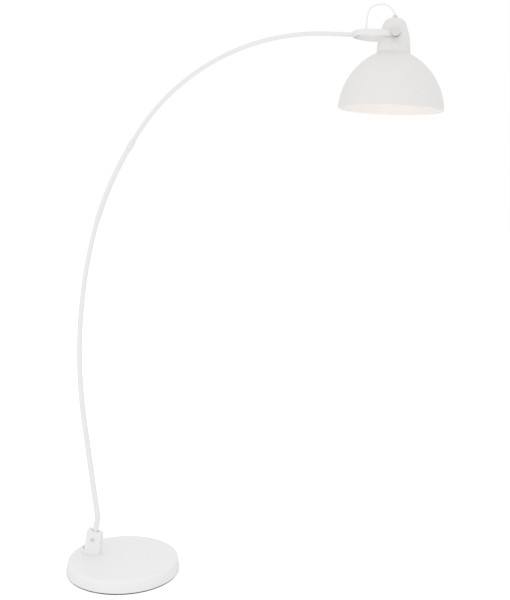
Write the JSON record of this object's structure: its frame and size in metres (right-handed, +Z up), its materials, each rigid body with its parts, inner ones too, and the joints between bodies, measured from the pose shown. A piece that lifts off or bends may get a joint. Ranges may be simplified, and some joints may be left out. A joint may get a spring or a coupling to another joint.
{
  "type": "arc floor lamp",
  "caption": "Arc floor lamp: a round weighted base with a tilting bracket clamp, a tapered bent arm and a domed metal shade that tilts in a U-shaped yoke.",
  "frame": {"origin": "middle of the underside of the base, on the floor", "axes": "+Z up; +X from the foot of the arm towards the shade; the arm lies in the plane Y = 0; -Y is the side of the thumb knob and of the bolt's head"},
  "size_m": [1.1293, 0.35, 1.7476],
  "materials": {
    "lamp_white": "satin white powder coat",
    "shade_white": "satin white powder coat on spun aluminium",
    "pad_rubber": "matte",
    "cast_iron": "raw",
    "zinc_steel": "zinc plated",
    "nickel": "polished nickel",
    "pale_nylon": "matte",
    "holder_plastic": "semi-gloss",
    "brass": "satin",
    "cord_white": "satin sheath"
  },
  "bodies": {
    "base": {"base_cover": "lamp_white", "base_weight": "cast_iron", "base_plate": "zinc_steel", "base_pad": "pad_rubber", "plate_screw_1": "zinc_steel", "plate_screw_2": "zinc_steel", "plate_screw_3": "zinc_steel", "stem_bracket": "lamp_white", "bracket_screw_1": "zinc_steel", "bracket_screw_2": "zinc_steel", "cord_inlet_bush": "pale_nylon", "arm_pivot_bolt": "zinc_steel", "pivot_washer": "zinc_steel", "arm_pivot_nut": "zinc_steel"},
    "arm": {"lower_tube": "lamp_white", "pivot_saddle_front": "pale_nylon", "pivot_saddle_rear": "pale_nylon", "joint_collar": "lamp_white", "collar_set_screw": "zinc_steel", "joint_spigot": "zinc_steel", "upper_tube": "lamp_white", "shade_yoke": "lamp_white", "yoke_set_screw": "zinc_steel", "yoke_grommet": "pale_nylon", "friction_washer_front": "pale_nylon", "friction_washer_rear": "pale_nylon", "jumper_cord": "cord_white"},
    "shade": {"shade_dome": "shade_white", "neck_cap": "shade_white", "crown_screw_1": "zinc_steel", "crown_screw_2": "zinc_steel", "crown_screw_3": "zinc_steel", "rear_pivot_bolt": "zinc_steel", "cable_gland": "nickel", "gland_locknut": "zinc_steel", "lampholder_body": "holder_plastic", "lampholder_ring": "holder_plastic", "lampholder_shell": "brass", "lampholder_contact": "brass"},
    "knob": {"pivot_knob": "nickel", "knob_stud": "zinc_steel"}
  },
  "joints": [
    {"name": "arm_tilt", "type": "hinge", "parent": "base", "child": "arm", "pos_m": [-0.09908, 0, 0.086], "axis": [0, 1, 0], "range_deg": [-3, 3]},
    {"name": "shade_tilt", "type": "hinge", "parent": "arm", "child": "shade", "pos_m": [0.81554, 0, 1.64926], "axis": [0, 1, 0], "range_deg": [-60, 34], "deforming": ["jumper_cord"]},
    {"name": "knob_turn", "type": "hinge", "parent": "shade", "child": "knob", "pos_m": [0.81554, -0.0604, 1.64926], "axis": [0, -1, 0], "range_deg": [0, 180]}
  ]
}
